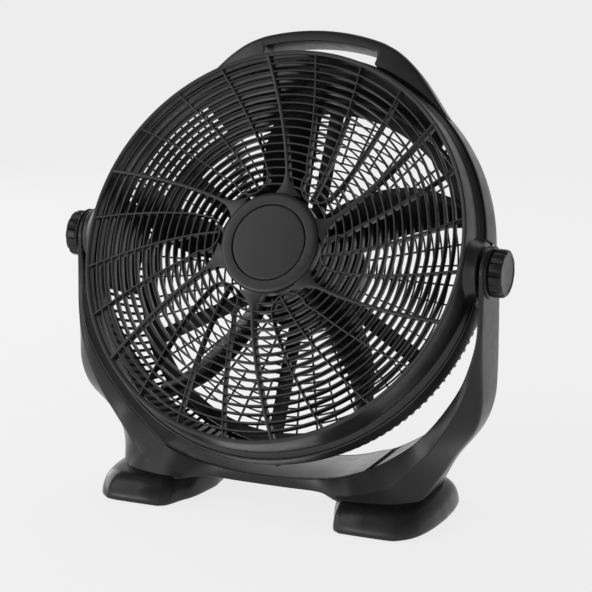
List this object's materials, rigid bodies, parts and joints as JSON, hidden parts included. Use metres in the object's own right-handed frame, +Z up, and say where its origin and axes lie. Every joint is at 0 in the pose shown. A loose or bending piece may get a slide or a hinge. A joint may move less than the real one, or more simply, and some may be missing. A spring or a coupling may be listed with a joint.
{
  "type": "floor fan",
  "caption": "Round tilting floor fan: finned grille, ducted drum with carrying handle, pitched blades, U-shaped yoke on two feet, tilt knobs and a rear speed knob.",
  "frame": {"origin": "floor level, under the middle of the object's box at rest", "axes": "+Z up, the fan's front faces -Y, the tilt axis runs along X"},
  "size_m": [0.5792, 0.3322, 0.5691],
  "materials": {
    "charcoal_plastic": "satin, fine grain",
    "satin_plastic": "satin",
    "gloss_plastic": "gloss",
    "rubber": "matte",
    "zinc_steel": "zinc plated",
    "motor_paint": "satin paint",
    "wound_core": "varnished laminations and windings",
    "switch_plastic": "moulded"
  },
  "bodies": {
    "base": {"yoke": "charcoal_plastic", "saddle_tray": "charcoal_plastic", "tray_screw": "zinc_steel", "foot_right": "charcoal_plastic", "foot_left": "charcoal_plastic", "foot_screw_right_1": "zinc_steel", "foot_screw_right_2": "zinc_steel", "foot_screw_left_1": "zinc_steel", "foot_screw_left_2": "zinc_steel", "pad_1": "rubber", "pad_2": "rubber", "pad_3": "rubber", "pad_4": "rubber", "friction_washer_right": "rubber", "friction_washer_left": "rubber", "knob_plate_right": "gloss_plastic", "knob_plate_left": "gloss_plastic"},
    "head": {"cord_gland": "rubber", "motor_screw_1": "zinc_steel", "motor_screw_2": "zinc_steel", "motor_screw_3": "zinc_steel", "motor_screw_4": "zinc_steel", "bearing_front": "zinc_steel", "bearing_rear": "zinc_steel", "front_grille": "satin_plastic", "grille_rim": "satin_plastic", "rear_guard": "satin_plastic", "drum_ring": "satin_plastic", "lower_shell": "satin_plastic", "upper_shell": "satin_plastic", "tilt_boss_right": "satin_plastic", "tilt_boss_left": "satin_plastic", "rear_grille": "satin_plastic", "motor_cover": "satin_plastic", "hub_cap": "gloss_plastic", "motor_shell": "motor_paint", "motor_end_bell": "motor_paint", "stator": "wound_core", "speed_switch": "switch_plastic", "capacitor": "switch_plastic"},
    "rotor": {"fan_blade": "gloss_plastic", "motor_shaft": "zinc_steel", "rotor_core": "zinc_steel", "lock_nut": "gloss_plastic"},
    "knob_right": {"tilt_knob_right": "gloss_plastic", "tilt_bolt_right": "zinc_steel"},
    "knob_left": {"tilt_knob_left": "gloss_plastic", "tilt_bolt_left": "zinc_steel"},
    "speed_dial": {"speed_knob": "gloss_plastic"}
  },
  "joints": [
    {"name": "head_tilt", "type": "hinge", "parent": "base", "child": "head", "pos_m": [0, -0.0157, 0.3119], "axis": [-1, 0, 0], "range_deg": [-32, 62]},
    {"name": "blade_spin", "type": "hinge", "parent": "head", "child": "rotor", "pos_m": [0, -0.0157, 0.3119], "axis": [0, -0.8886, 0.4587], "continuous": true},
    {"name": "knob_right_turn", "type": "hinge", "parent": "base", "child": "knob_right", "pos_m": [0.28, -0.0157, 0.3119], "axis": [1, 0, 0], "range_deg": [0, 360]},
    {"name": "knob_left_turn", "type": "hinge", "parent": "base", "child": "knob_left", "pos_m": [-0.28, -0.0157, 0.3119], "axis": [-1, 0, 0], "range_deg": [0, 360]},
    {"name": "speed_turn", "type": "hinge", "parent": "head", "child": "speed_dial", "pos_m": [0, -0.0157, 0.3119], "axis": [0, 0.8886, -0.4587], "range_deg": [0, 135]}
  ]
}
